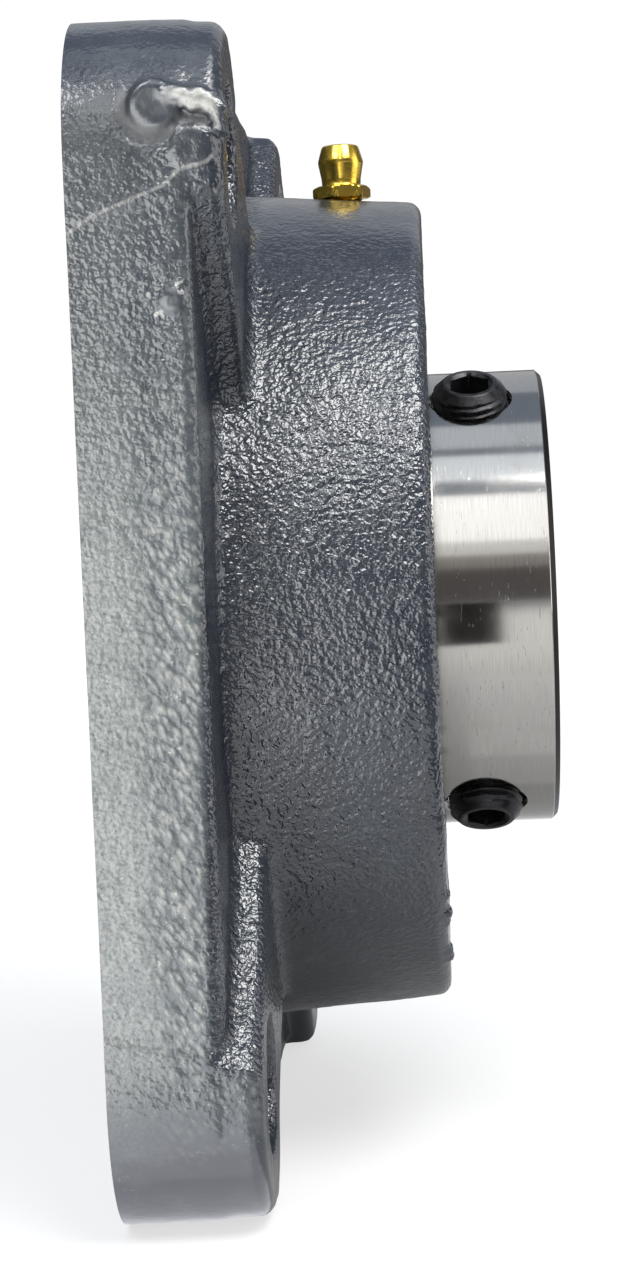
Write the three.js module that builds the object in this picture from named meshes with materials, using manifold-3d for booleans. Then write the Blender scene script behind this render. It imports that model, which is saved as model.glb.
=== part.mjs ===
// Four-bolt square-flange bearing unit for a 50 mm shaft: a cast housing with a spherical seat,
// and a self-aligning ball bearing insert with two set screws. Millimetres.
//
// The origin is the centre of the mounting face, on the bearing axis. +X runs along the shaft
// axis out of the front of the unit, and +Z points up, through the grease nipple.
//
// Neighbouring pieces that touch on the real unit keep a small gap here, because every surface is
// faceted.

import * as THREE from "three";
import { mergeVertices } from "three/addons/utils/BufferGeometryUtils.js";
import Module from "manifold-3d";

const wasm = await Module();
wasm.setup();

// ---------------------------------------------------------------- driving dimensions

const GAP = 0.3;
const TURN = Math.PI * 2;

// How far a cutter reaches past the surface it cuts, and how many sides round pieces have.
const PAST = 1;
const ROUND = 60;
const ROUND_SMALL = 36;
const ROUND_HOLE = 24;
const ROUND_TINY = 8;

// Housing
const FLANGE_SIDE = 143;
const FLANGE_CORNER = 17.5;
const PLATE_THICK = 14;
const PAD_THICK = 18;
const BOLT_PITCH = 111;
const BOLT_HOLE = 16;
const ARM_HALF_AT_BOSS = 16.6;
const ARM_HALF_AT_CORNER = 14;
const BOSS_ROOT_R = 56;
const BOSS_FRONT_R = 54.3;
const BOSS_FRONT_X = 40;
const BOSS_EDGE = 2;
const RECESS_R = 49;
const RECESS_DEPTH = 6;
const SLOT_CLEAR = 0.6;

// Bearing insert
const BALL_X = 22;
const SEAT_R = 45;
const OUTER_WIDTH = 24;
const BALL_R = 6.35;
const BALL_COUNT = 10;
const PITCH_R = 35;
const OUTER_SHOULDER_R = 39;
const INNER_R = 31;
const BORE_R = 25;
const INNER_REAR_X = 3;
const INNER_FRONT_X = 55.4;
const INNER_CHAMFER = 0.9;
const BORE_CHAMFER = 1;
const SEAL_SEAT_R = 40.3;
const SEAL_SEAT_HALF = 8.4;

// Seat in the housing, a little wider than the outer ring, and its grease groove
const SEAT_EXTRA = 2;
const MOUTH_FLARE = 1;
const GREASE_GROOVE_HALF = 1.5;
const GREASE_GROOVE_DEEP = 1.6;
const GREASE_HOLE_R = 0.9;

// Ball groove in both rings
const GROOVE_R = BALL_R + GAP;
const GROOVE_HALF = Math.sqrt(GROOVE_R ** 2 - (PITCH_R - INNER_R) ** 2);

// Ribbon cage
const CAGE_THICK = 0.9;
const CAGE_HALF_BAND = 1.9;
const RIVET_R = 0.8;
const RIVET_HEAD_R = 1.4;
const RIVET_TOP_R = 0.84;
const RIVET_HEAD_THICK = 0.5;

// Seals and slingers at the front, as [distance from the ball centre plane, radius]
const SEAL_CORE = [[9, 33.2], [9, 40], [11.4, 40], [11.4, 39.2], [9.8, 39.2], [9.8, 33.2]];
const SEAL_LIP = [[8.6, 31.3], [8.2, 31.9], [8.8, 32.9], [10.2, 32.9], [10.4, 31.6], [9.8, 31.3]];
const SLINGER = [[10.8, 31.3], [10.8, 38.7], [11.5, 38.7], [11.7, 33], [13, 32.2], [13, 31.3]];

// Set screws
const SCREW_R = 4.9;
const SCREW_X = 45.5;
const SCREW_ANGLE = THREE.MathUtils.degToRad(60);
const SCREW_TIP_R = 25.4;
const SCREW_HEAD_R = 33.4;
const SCREW_CHAMFER = 1.25;
const SCREW_TAPER = 1.6;
const SCREW_CUP_R = 2.4;
const SCREW_CUP_RIM = 0.4;
const SCREW_CUP_DEEP = 0.9;
const SCREW_KEY = 5;
const SCREW_KEY_DEPTH = 4;

// Grease nipple: its outside and its bore as [height, radius]
const NIPPLE_X = 29.25;
const NIPPLE_THREAD_R = 2.85;
const NIPPLE_FOOT_Z = 47.6;
const NIPPLE_HEX_LOW_Z = 55.6;
const NIPPLE_HEX_HIGH_Z = 57.3;
const NIPPLE_TOP_Z = 62.9;
const NIPPLE_HEX = 7;
const NIPPLE_HEX_TURN = 12;
const NIPPLE_BORE_R = 1.6;
const NIPPLE_MOUTH_R = 0.7;
const NIPPLE_LIP_R = 1;
const NIPPLE_LIP_TOP_Z = NIPPLE_FOOT_Z + 1;
const NIPPLE_BALL_R = 1.3;
const NIPPLE_BALL_Z = 60.55;
const NIPPLE_SEAT_Z = NIPPLE_BALL_Z + 0.35;
const NIPPLE_OUTSIDE = [
  [NIPPLE_FOOT_Z, 0], [NIPPLE_FOOT_Z, 2.45], [48.1, NIPPLE_THREAD_R], [56.1, NIPPLE_THREAD_R],
  [56.9, 2.75], [57.4, 2.62], [58.2, 2.67], [60.3, 3.1], [60.7, 3.1], [62.5, 2.65],
  [NIPPLE_TOP_Z, 2.3], [NIPPLE_TOP_Z, 0],
];
const NIPPLE_BORE = [
  [NIPPLE_FOOT_Z - PAST, 0], [NIPPLE_FOOT_Z - PAST, NIPPLE_LIP_R],
  [NIPPLE_LIP_TOP_Z, NIPPLE_LIP_R], [NIPPLE_LIP_TOP_Z, NIPPLE_BORE_R],
  [NIPPLE_SEAT_Z, NIPPLE_BORE_R], [NIPPLE_SEAT_Z + 1, NIPPLE_MOUTH_R],
  [NIPPLE_TOP_Z + PAST, NIPPLE_MOUTH_R], [NIPPLE_TOP_Z + PAST, 0],
];

// Spring under the check ball, from just above the lip to just touching the ball
const SPRING_WIRE_R = 0.18;
const SPRING_R = 1.1;
const SPRING_TURNS = 5;
const SPRING_LOW_Z = NIPPLE_LIP_TOP_Z + SPRING_WIRE_R + 0.1;
const SPRING_HIGH_Z = NIPPLE_BALL_Z - NIPPLE_BALL_R - SPRING_WIRE_R + 0.4;

// ---------------------------------------------------------------- materials

function metal(color, roughness, metalness) {
  return new THREE.MeshStandardMaterial({ color, roughness, metalness });
}

const FINISH = {
  enamel: () => metal(0x4b5359, 0.35, 0.2),
  groundSteel: () => metal(0x9b9b97, 0.3, 1),
  ballSteel: () => metal(0xc9cccf, 0.08, 1),
  sheetSteel: () => metal(0xa7a9a6, 0.4, 1),
  rubber: () => metal(0x1b1b1c, 0.8, 0),
  blackOxide: () => metal(0x1d1e20, 0.45, 0.7),
  goldPlate: () => metal(0xc8a24a, 0.3, 1),
};

// ---------------------------------------------------------------- solids

// A library solid from a closed geometry, whose shared corners are merged first.
function solid(geometry) {
  const bare = geometry.clone();
  bare.deleteAttribute("normal");
  bare.deleteAttribute("uv");
  const merged = mergeVertices(bare, 1e-4);
  const mesh = new wasm.Mesh({
    numProp: 3,
    vertProperties: new Float32Array(merged.attributes.position.array),
    triVerts: new Uint32Array(merged.index.array),
  });
  return new wasm.Manifold(mesh);
}

function geometryOf(body) {
  const mesh = body.getMesh();
  const geometry = new THREE.BufferGeometry();
  geometry.setAttribute("position", new THREE.BufferAttribute(mesh.vertProperties, 3));
  geometry.setIndex(new THREE.BufferAttribute(mesh.triVerts, 1));
  geometry.computeVertexNormals();
  return geometry;
}

// A closed outline of [x along the shaft, radius] points, turned about the X axis.
function turned(outline, segments = ROUND) {
  const points = outline.map(([x, r]) => new THREE.Vector2(r, x));
  const closed = points[0].x > 0 ? [...points, points[0].clone()] : points;
  const geometry = new THREE.LatheGeometry(closed, segments);
  return solid(geometry.rotateZ(-Math.PI / 2));
}

// The same, turned about the Z axis: [z, radius] points.
function turnedUp(outline, segments = ROUND_HOLE) {
  const points = outline.map(([z, r]) => new THREE.Vector2(r, z));
  return solid(new THREE.LatheGeometry(points, segments).rotateX(Math.PI / 2));
}

// A shape drawn in the (y, z) plane, thick along +X from x = 0.
function plate(shape, thick) {
  const options = { depth: thick, bevelEnabled: false, curveSegments: ROUND_TINY };
  const geometry = new THREE.ExtrudeGeometry(shape, options);
  geometry.rotateZ(Math.PI / 2);
  geometry.rotateY(Math.PI / 2);
  return solid(geometry);
}

function rod(radius, from, to, sides) {
  const start = new THREE.Vector3(...from);
  const end = new THREE.Vector3(...to);
  const along = end.clone().sub(start);
  const geometry = new THREE.CylinderGeometry(radius, radius, along.length(), sides);
  const up = new THREE.Vector3(0, 1, 0);
  geometry.applyQuaternion(new THREE.Quaternion().setFromUnitVectors(up, along.normalize()));
  const middle = start.add(end).multiplyScalar(0.5);
  return solid(geometry.translate(middle.x, middle.y, middle.z));
}

function block(size, centre) {
  return solid(new THREE.BoxGeometry(...size).translate(...centre));
}

// The [y, z] of a ball on the pitch circle, or of a place between two balls.
function onPitch(index, offset = 0) {
  const angle = ((index + offset) * TURN) / BALL_COUNT;
  return [PITCH_R * Math.sin(angle), PITCH_R * Math.cos(angle)];
}

// Points on an arc about (BALL_X, centreR), from one x to another, as [x, radius].
function arc(centreR, radius, fromX, toX, steps, side) {
  const points = [];
  const from = Math.asin((fromX - BALL_X) / radius);
  const to = Math.asin((toX - BALL_X) / radius);
  for (let i = 0; i <= steps; i += 1) {
    const angle = from + ((to - from) * i) / steps;
    points.push([BALL_X + radius * Math.sin(angle), centreR + side * radius * Math.cos(angle)]);
  }
  return points;
}

// ---------------------------------------------------------------- housing

function roundedSquare(side, corner) {
  const half = side / 2;
  const flat = half - corner;
  const shape = new THREE.Shape();
  shape.moveTo(-flat, -half);
  shape.lineTo(flat, -half);
  shape.absarc(flat, -flat, corner, -Math.PI / 2, 0, false);
  shape.lineTo(half, flat);
  shape.absarc(flat, flat, corner, 0, Math.PI / 2, false);
  shape.lineTo(-flat, half);
  shape.absarc(-flat, flat, corner, Math.PI / 2, Math.PI, false);
  shape.lineTo(-half, -flat);
  shape.absarc(-flat, -flat, corner, Math.PI, Math.PI * 1.5, false);
  return shape;
}

// A bar along one diagonal that narrows from the boss to the two corners.
function diagonalArm(turn) {
  const reach = FLANGE_SIDE * 0.75;
  const shape = new THREE.Shape([
    new THREE.Vector2(-reach, -ARM_HALF_AT_CORNER),
    new THREE.Vector2(-BOSS_ROOT_R, -ARM_HALF_AT_BOSS),
    new THREE.Vector2(BOSS_ROOT_R, -ARM_HALF_AT_BOSS),
    new THREE.Vector2(reach, -ARM_HALF_AT_CORNER),
    new THREE.Vector2(reach, ARM_HALF_AT_CORNER),
    new THREE.Vector2(BOSS_ROOT_R, ARM_HALF_AT_BOSS),
    new THREE.Vector2(-BOSS_ROOT_R, ARM_HALF_AT_BOSS),
    new THREE.Vector2(-reach, ARM_HALF_AT_CORNER),
  ]);
  return plate(shape, PAD_THICK).rotate([turn, 0, 0]);
}

function bossSolid() {
  const edge = [];
  const steps = 4;
  for (let i = 0; i <= steps; i += 1) {
    const angle = (Math.PI / 2) * (i / steps);
    edge.push([
      BOSS_FRONT_X - BOSS_EDGE + BOSS_EDGE * Math.sin(angle),
      BOSS_FRONT_R - BOSS_EDGE + BOSS_EDGE * Math.cos(angle),
    ]);
  }
  return turned([[0, 0], [0, BOSS_ROOT_R], [PAD_THICK, BOSS_ROOT_R], ...edge, [BOSS_FRONT_X, 0]]);
}

// The bored inside: rear recess, spherical seat with a grease groove, and flared front mouth.
function seatCut() {
  const seat = SEAT_R + GAP;
  const reach = OUTER_WIDTH / 2 + SEAT_EXTRA;
  const mouth = Math.sqrt(seat * seat - reach * reach);
  const grooveLow = NIPPLE_X - GREASE_GROOVE_HALF;
  const grooveHigh = NIPPLE_X + GREASE_GROOVE_HALF;
  const grooveR = SEAT_R + GREASE_GROOVE_DEEP;
  return turned([
    [-PAST, 0],
    [-PAST, RECESS_R],
    [RECESS_DEPTH, RECESS_R],
    [BALL_X - reach, mouth],
    ...arc(0, seat, BALL_X - reach, grooveLow, 6, 1),
    [grooveLow, grooveR],
    [grooveHigh, grooveR],
    ...arc(0, seat, grooveHigh, BALL_X + reach, 2, 1),
    [BOSS_FRONT_X - MOUTH_FLARE, mouth],
    [BOSS_FRONT_X + PAST, mouth + MOUTH_FLARE + PAST],
    [BOSS_FRONT_X + PAST, 0],
  ]);
}

// Two slots at the back let the outer ring in edge-on, before it is turned into the seat.
function loadingSlots() {
  const width = OUTER_WIDTH + SLOT_CLEAR;
  const length = 2 * (SEAT_R + GAP);
  return block([BALL_X + PAST, length, width], [(BALL_X - PAST) / 2, 0, 0]);
}

function housing() {
  const outline = plate(roundedSquare(FLANGE_SIDE, FLANGE_CORNER), PAD_THICK);
  const arms = diagonalArm(45).add(diagonalArm(-45)).intersect(outline);
  const flange = plate(roundedSquare(FLANGE_SIDE, FLANGE_CORNER), PLATE_THICK);
  let body = flange.add(arms).add(bossSolid()).subtract(seatCut()).subtract(loadingSlots());
  for (const y of [-BOLT_PITCH / 2, BOLT_PITCH / 2]) {
    for (const z of [-BOLT_PITCH / 2, BOLT_PITCH / 2]) {
      const hole = rod(BOLT_HOLE / 2, [-PAST, y, z], [PAD_THICK + PAST, y, z], ROUND_HOLE);
      body = body.subtract(hole);
    }
  }
  const tapped = [NIPPLE_X, 0, SEAT_R - 2 * PAST];
  const open = [NIPPLE_X, 0, BOSS_ROOT_R + 2 * PAST];
  return body.subtract(rod(NIPPLE_THREAD_R + GAP, tapped, open, ROUND_HOLE));
}

// ---------------------------------------------------------------- rings

function outerRing() {
  const half = OUTER_WIDTH / 2;
  const front = BALL_X + half;
  const rear = BALL_X - half;
  const body = turned([
    ...arc(0, SEAT_R, rear, front, 6, 1),
    [front, SEAL_SEAT_R],
    [BALL_X + SEAL_SEAT_HALF, SEAL_SEAT_R],
    [BALL_X + SEAL_SEAT_HALF, OUTER_SHOULDER_R],
    ...arc(PITCH_R, GROOVE_R, BALL_X + GROOVE_HALF, BALL_X - GROOVE_HALF, 5, 1),
    [BALL_X - SEAL_SEAT_HALF, OUTER_SHOULDER_R],
    [BALL_X - SEAL_SEAT_HALF, SEAL_SEAT_R],
    [rear, SEAL_SEAT_R],
  ]);
  const reach = SEAT_R + PAST;
  const hole = rod(GREASE_HOLE_R, [NIPPLE_X, 0, -reach], [NIPPLE_X, 0, reach], ROUND_TINY);
  return body.subtract(hole);
}

function innerRing() {
  const front = INNER_FRONT_X;
  const rear = INNER_REAR_X;
  let body = turned([
    [rear, BORE_R + BORE_CHAMFER],
    [rear, INNER_R - INNER_CHAMFER],
    [rear + INNER_CHAMFER, INNER_R],
    ...arc(PITCH_R, GROOVE_R, BALL_X - GROOVE_HALF, BALL_X + GROOVE_HALF, 5, -1),
    [front - INNER_CHAMFER, INNER_R],
    [front, INNER_R - INNER_CHAMFER],
    [front, BORE_R + BORE_CHAMFER],
    [front - BORE_CHAMFER, BORE_R],
    [rear + BORE_CHAMFER, BORE_R],
  ]);
  const low = BORE_R - 2 * PAST;
  const high = INNER_R + PAST;
  for (const side of [1, -1]) {
    const [y, z] = screwWay(side);
    const hole = rod(
      SCREW_R + GAP, [SCREW_X, y * low, z * low], [SCREW_X, y * high, z * high], ROUND_HOLE,
    );
    body = body.subtract(hole);
  }
  return body;
}

// ---------------------------------------------------------------- balls and cage

function ball(index) {
  const [y, z] = onPitch(index);
  return new THREE.IcosahedronGeometry(BALL_R, 2).translate(BALL_X, y, z);
}

// A rod through one ball's centre, pointing out from the shaft axis.
function acrossBand(index, radius) {
  const [y, z] = onPitch(index);
  const near = (PITCH_R - CAGE_HALF_BAND - PAST) / PITCH_R;
  const far = (PITCH_R + CAGE_HALF_BAND + PAST) / PITCH_R;
  return rod(radius, [BALL_X, y * near, z * near], [BALL_X, y * far, z * far], 16);
}

// One half of a pressed ribbon cage: a flat band with a cupped pocket at each ball.
function cageHalf(side) {
  const near = BALL_X + (side * GAP) / 2;
  const far = near + side * CAGE_THICK;
  const top = BALL_X + side * (BALL_R + 3);
  const inside = PITCH_R - CAGE_HALF_BAND;
  const outside = PITCH_R + CAGE_HALF_BAND;
  const ring = (a, b) => {
    const [low, high] = a < b ? [a, b] : [b, a];
    return turned([[low, inside], [low, outside], [high, outside], [high, inside]], ROUND_SMALL);
  };
  let body = ring(near, far);
  for (let i = 0; i < BALL_COUNT; i += 1) {
    body = body.add(acrossBand(i, BALL_R + GAP + CAGE_THICK));
  }
  body = body.intersect(ring(near, top));
  for (let i = 0; i < BALL_COUNT; i += 1) {
    const [y, z] = onPitch(i, 0.5);
    const hole = rod(RIVET_R + GAP / 2, [near - side, y, z], [far + side, y, z], ROUND_TINY);
    body = body.subtract(acrossBand(i, BALL_R + GAP)).subtract(hole);
  }
  return body;
}

function rivet(index) {
  const [y, z] = onPitch(index, 0.5);
  const sheet = GAP / 2 + CAGE_THICK + GAP / 2;
  const tip = sheet + RIVET_HEAD_THICK;
  const outline = [
    [-tip, 0], [-tip, RIVET_TOP_R], [-sheet, RIVET_HEAD_R], [-sheet, RIVET_R],
    [sheet, RIVET_R], [sheet, RIVET_HEAD_R], [tip, RIVET_TOP_R], [tip, 0],
  ];
  return turned(outline, ROUND_TINY).translate([BALL_X, y, z]);
}

// ---------------------------------------------------------------- seals and slingers

// A front outline turned about the shaft, or its mirror image at the rear.
function sealRing(outline, side) {
  const points = outline.map(([x, r]) => [BALL_X + side * x, r]);
  return turned(side > 0 ? points : points.reverse(), ROUND_SMALL);
}

// ---------------------------------------------------------------- set screws

// The [y, z] direction that a set screw points out from the shaft.
function screwWay(side) {
  return [-Math.cos(SCREW_ANGLE), side * Math.sin(SCREW_ANGLE)];
}

// A cup-point screw with a hexagon socket, standing on the ring's wall.
function setScrew(side) {
  const length = SCREW_HEAD_R - SCREW_TIP_R;
  let body = turnedUp([
    [SCREW_CUP_DEEP, 0], [0, SCREW_CUP_R], [0, SCREW_CUP_R + SCREW_CUP_RIM], [SCREW_TAPER, SCREW_R],
    [length - SCREW_CHAMFER, SCREW_R], [length, SCREW_R - SCREW_CHAMFER], [length, 0],
  ]);
  const keyR = SCREW_KEY / Math.sqrt(3);
  body = body.subtract(rod(keyR, [0, 0, length - SCREW_KEY_DEPTH], [0, 0, length + PAST], 6));
  const [y, z] = screwWay(side);
  const tilt = THREE.MathUtils.radToDeg(Math.atan2(-y, z));
  return body.rotate([tilt, 0, 0]).translate([SCREW_X, y * SCREW_TIP_R, z * SCREW_TIP_R]);
}

// ---------------------------------------------------------------- grease nipple

function greaseNipple() {
  const hexR = NIPPLE_HEX / Math.sqrt(3);
  const hexagon = rod(hexR, [0, 0, NIPPLE_HEX_LOW_Z], [0, 0, NIPPLE_HEX_HIGH_Z], 6);
  const body = turnedUp(NIPPLE_OUTSIDE).add(hexagon.rotate([0, 0, NIPPLE_HEX_TURN]));
  return body.subtract(turnedUp(NIPPLE_BORE, 20)).translate([NIPPLE_X, 0, 0]);
}

class SpringLine extends THREE.Curve {
  getPoint(t, target = new THREE.Vector3()) {
    const angle = t * SPRING_TURNS * TURN;
    const height = THREE.MathUtils.lerp(SPRING_LOW_Z, SPRING_HIGH_Z, t);
    return target.set(SPRING_R * Math.cos(angle), SPRING_R * Math.sin(angle), height);
  }
}

function nippleSpring() {
  const wire = new THREE.Shape();
  wire.absarc(0, 0, SPRING_WIRE_R, 0, TURN, false);
  const options = { extrudePath: new SpringLine(), steps: SPRING_TURNS * 12, curveSegments: 2 };
  return solid(new THREE.ExtrudeGeometry(wire, options)).translate([NIPPLE_X, 0, 0]);
}

// ---------------------------------------------------------------- assembly

const unit = new THREE.Group();

function place(name, shape, finish) {
  const geometry = shape.isBufferGeometry ? shape : geometryOf(shape);
  const mesh = new THREE.Mesh(geometry, finish());
  mesh.name = name;
  unit.add(mesh);
}

function numbered(stem, index) {
  return `${stem}_${String(index + 1).padStart(2, "0")}`;
}

place("housing", housing(), FINISH.enamel);
place("outer_ring", outerRing(), FINISH.groundSteel);
place("inner_ring", innerRing(), FINISH.groundSteel);
for (let i = 0; i < BALL_COUNT; i += 1) {
  place(numbered("ball", i), ball(i), FINISH.ballSteel);
  place(numbered("cage_rivet", i), rivet(i), FINISH.sheetSteel);
}
for (const [end, side] of [["front", 1], ["rear", -1]]) {
  place(`cage_${end}`, cageHalf(side), FINISH.sheetSteel);
  place(`seal_core_${end}`, sealRing(SEAL_CORE, side), FINISH.sheetSteel);
  place(`seal_lip_${end}`, sealRing(SEAL_LIP, side), FINISH.rubber);
  place(`slinger_${end}`, sealRing(SLINGER, side), FINISH.sheetSteel);
}
for (const [end, side] of [["upper", 1], ["lower", -1]]) {
  place(`set_screw_${end}`, setScrew(side), FINISH.blackOxide);
}
place("grease_nipple", greaseNipple(), FINISH.goldPlate);
const nippleBall = new THREE.IcosahedronGeometry(NIPPLE_BALL_R, 1);
place("nipple_ball", nippleBall.translate(NIPPLE_X, 0, NIPPLE_BALL_Z), FINISH.ballSteel);
place("nipple_spring", nippleSpring(), FINISH.sheetSteel);

export default unit;
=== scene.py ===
"""Looks of a four-bolt flange bearing unit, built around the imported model.

Shapes are worked out in millimetres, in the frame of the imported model: +X along the shaft axis out
of the front, +Z up through the grease nipple, and the origin in the middle of the mounting face.
"""

import itertools
import math

import bmesh
import bpy
import numpy as np
import openvdb
from mathutils import Matrix, Vector

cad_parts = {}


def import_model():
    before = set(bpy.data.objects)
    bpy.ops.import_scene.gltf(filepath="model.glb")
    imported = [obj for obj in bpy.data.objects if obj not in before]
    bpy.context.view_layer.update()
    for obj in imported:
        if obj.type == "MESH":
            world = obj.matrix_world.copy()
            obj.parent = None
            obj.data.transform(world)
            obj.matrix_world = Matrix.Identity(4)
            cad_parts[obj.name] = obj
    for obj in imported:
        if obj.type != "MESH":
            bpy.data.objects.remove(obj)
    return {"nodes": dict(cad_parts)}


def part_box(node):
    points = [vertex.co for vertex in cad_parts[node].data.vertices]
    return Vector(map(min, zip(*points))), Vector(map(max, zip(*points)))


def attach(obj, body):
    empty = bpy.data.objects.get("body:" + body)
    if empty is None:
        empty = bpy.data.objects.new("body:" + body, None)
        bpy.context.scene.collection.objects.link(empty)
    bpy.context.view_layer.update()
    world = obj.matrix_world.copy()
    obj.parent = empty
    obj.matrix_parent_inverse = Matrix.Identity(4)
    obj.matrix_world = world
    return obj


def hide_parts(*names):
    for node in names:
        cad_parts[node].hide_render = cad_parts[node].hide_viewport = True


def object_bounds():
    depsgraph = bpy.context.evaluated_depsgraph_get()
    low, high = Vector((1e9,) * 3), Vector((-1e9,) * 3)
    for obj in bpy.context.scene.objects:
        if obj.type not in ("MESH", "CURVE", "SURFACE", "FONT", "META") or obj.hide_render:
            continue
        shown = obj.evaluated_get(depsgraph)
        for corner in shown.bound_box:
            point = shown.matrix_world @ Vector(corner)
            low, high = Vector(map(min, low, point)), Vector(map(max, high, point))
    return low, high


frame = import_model()
CAD_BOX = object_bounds()

MM = 0.001
TAU = 2 * math.pi


def box_mm(node):
    low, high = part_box(node)
    return np.array(low) / MM, np.array(high) / MM


def centre_mm(node):
    return sum(box_mm(node)) / 2


# ---- sizes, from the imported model

HOUSING_HIGH = box_mm("housing")[1]
FLANGE_HALF = HOUSING_HIGH[1]
BOSS_FRONT_X = HOUSING_HIGH[0]
OUTER_LOW, OUTER_HIGH = box_mm("outer_ring")
INNER_LOW, INNER_HIGH = box_mm("inner_ring")
BALL_X = (OUTER_LOW[0] + OUTER_HIGH[0]) / 2
OUTER_R = OUTER_HIGH[2]
OUTER_HALF = (OUTER_HIGH[0] - OUTER_LOW[0]) / 2
INNER_R = INNER_HIGH[2]
ENDS = (("front", 1), ("rear", -1))
BALLS = [f"ball_{i + 1:02d}" for i in range(10)]
RIVETS = [f"cage_rivet_{i + 1:02d}" for i in range(10)]
BALL_CENTRES = [centre_mm(name) for name in BALLS]
PITCH_R = math.hypot(*BALL_CENTRES[0][1:])
NIPPLE_LOW, NIPPLE_HIGH = box_mm("grease_nipple")
NIPPLE_X = (NIPPLE_LOW[0] + NIPPLE_HIGH[0]) / 2
SCREW_X = centre_mm("set_screw_upper")[0]

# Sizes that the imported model's boxes don't give.
CORNER_R = 17.5
PLATE_X = 14.0
PAD_X = 18.0
BOLT_AT = 55.5
BOLT_HOLE_R = 8.0
ARM_HALF_AT_BOSS = 16.6
ARM_HALF_AT_CORNER = 14.0
BOSS_ROOT_R = 56.0
BOSS_FRONT_R = 54.3
RECESS_R = 49.0
RECESS_X = 6.0
SEAT_GAP = 0.3
BALL_R = 6.35
BORE_R = 25.0
OUTER_SHOULDER_R = 39.0
SCREW_ANGLE = math.radians(60)
SCREW_TIP_R = 25.4
SCREW_HEAD_R = 33.4
SCREW_KEY = 5.0
SCREW_HOLE_R = 5.15
NIPPLE_HOLE_R = 3.1
GREASE_HOLE_R = 0.9
RIVET_HOLE_R = 0.95

# ---- mesh helpers


def linked(name, data):
    """An object of the scene that shows a mesh, a light or a camera."""
    thing = bpy.data.objects.new(name, data)
    bpy.context.scene.collection.objects.link(thing)
    return thing


def mesh_object(name, vertices, faces, sharp_angle=32.0):
    """A closed mesh from points in millimetres and faces, which are turned outwards."""
    mesh = bpy.data.meshes.new(name)
    mesh.from_pydata((np.asarray(vertices, float) * MM).tolist(), [], faces)
    mesh.validate()
    shape = bmesh.new()
    shape.from_mesh(mesh)
    if shape.calc_volume(signed=True) < 0:
        mesh.flip_normals()
    shape.free()
    piece = linked(name, mesh)
    smooth(piece, sharp_angle)
    return piece


def dressed(piece, material):
    piece.data.materials.append(material)
    return piece


def smooth(piece, sharp_angle=32.0):
    piece.data.shade_smooth()
    piece.data.set_sharp_from_angle(angle=math.radians(sharp_angle))


def grid_faces(rows, columns, wrap_rows):
    """Quads over rows of points that go round, where the last row may join the first."""
    faces = []
    for i in range(rows if wrap_rows else rows - 1):
        below = i * columns
        above = ((i + 1) % rows) * columns
        for j in range(columns):
            k = (j + 1) % columns
            faces.append((below + j, below + k, above + k, above + j))
    return faces


def rounded(outline, radius, steps=3, closed=True):
    """The outline of [along, radius] points with each corner turned into a small arc."""
    points = [np.array(p[:2], float) for p in outline]
    result = []
    count = len(points)
    for i, point in enumerate(points):
        if not closed and i in (0, count - 1):
            result.append(point)
            continue
        back = points[i - 1] - point
        ahead = points[(i + 1) % count] - point
        reach_back, reach_ahead = np.linalg.norm(back), np.linalg.norm(ahead)
        turn = math.pi - math.acos(np.clip(back @ ahead / (reach_back * reach_ahead), -1, 1))
        if turn < math.radians(25):
            result.append(point)
            continue
        cut = min(radius * math.tan(turn / 2), reach_back * 0.45, reach_ahead * 0.45)
        start = point + back / reach_back * cut
        end = point + ahead / reach_ahead * cut
        for step in range(steps + 1):
            t = step / steps
            result.append((1 - t) ** 2 * start + 2 * t * (1 - t) * point + t * t * end)
    return result


def turned(name, outline, segments=192, sharp_angle=32.0):
    """A closed outline of [x, radius] points in millimetres, turned about the X axis."""
    profile = np.array(outline)
    angles = np.arange(segments) * TAU / segments
    rows = [
        np.stack([np.full(segments, x), r * np.sin(angles), r * np.cos(angles)], 1)
        for x, r in profile
    ]
    faces = grid_faces(len(rows), segments, True)
    return mesh_object(name, np.concatenate(rows), faces, sharp_angle)


def spun(name, rows, segments, sharp_angle=32.0):
    """A solid about Z from rows of (height, radius), where each may be an array round the turn.

    The first and last rows close at a point on the axis.
    """
    angles = np.arange(segments) * TAU / segments
    rings = []
    for height, radius in rows:
        height = np.broadcast_to(height, segments)
        radius = np.broadcast_to(radius, segments)
        rings.append(np.stack([radius * np.cos(angles), radius * np.sin(angles), height], 1))
    vertices = np.concatenate(rings)
    faces = grid_faces(len(rings), segments, False)
    low, high = len(vertices), len(vertices) + 1
    ends = [[0, 0, np.mean(rings[0][:, 2])], [0, 0, np.mean(rings[-1][:, 2])]]
    vertices = np.concatenate([vertices, ends])
    last = (len(rings) - 1) * segments
    for j in range(segments):
        k = (j + 1) % segments
        faces.append((low, k, j))
        faces.append((high, last + j, last + k))
    return mesh_object(name, vertices, faces, sharp_angle)


def hexagon(across_flats, segments):
    """The radius of a hexagon round the turn."""
    angles = np.arange(segments) * TAU / segments
    return across_flats / 2 / np.cos((angles % (TAU / 6)) - TAU / 12)


def place(piece, matrix):
    """Moves a mesh's own points, so that the object itself stays at the origin."""
    piece.data.transform(matrix)
    return piece


def stand(origin, direction):
    """The move that stands a solid about Z on a point in millimetres, along a direction."""
    turn = Vector((0, 0, 1)).rotation_difference(Vector(direction)).to_matrix().to_4x4()
    return Matrix.Translation(Vector(origin) * MM) @ turn


def cut(piece, cutters):
    """Takes the cutters out of a piece, and leaves their material on the new faces."""
    for cutter in cutters:
        modifier = piece.modifiers.new("cut", "BOOLEAN")
        modifier.operation = "DIFFERENCE"
        modifier.solver = "MANIFOLD"
        modifier.object = cutter
        modifier.material_mode = "TRANSFER"
        apply_modifiers(piece)
        bpy.data.objects.remove(cutter)
    return piece


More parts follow.
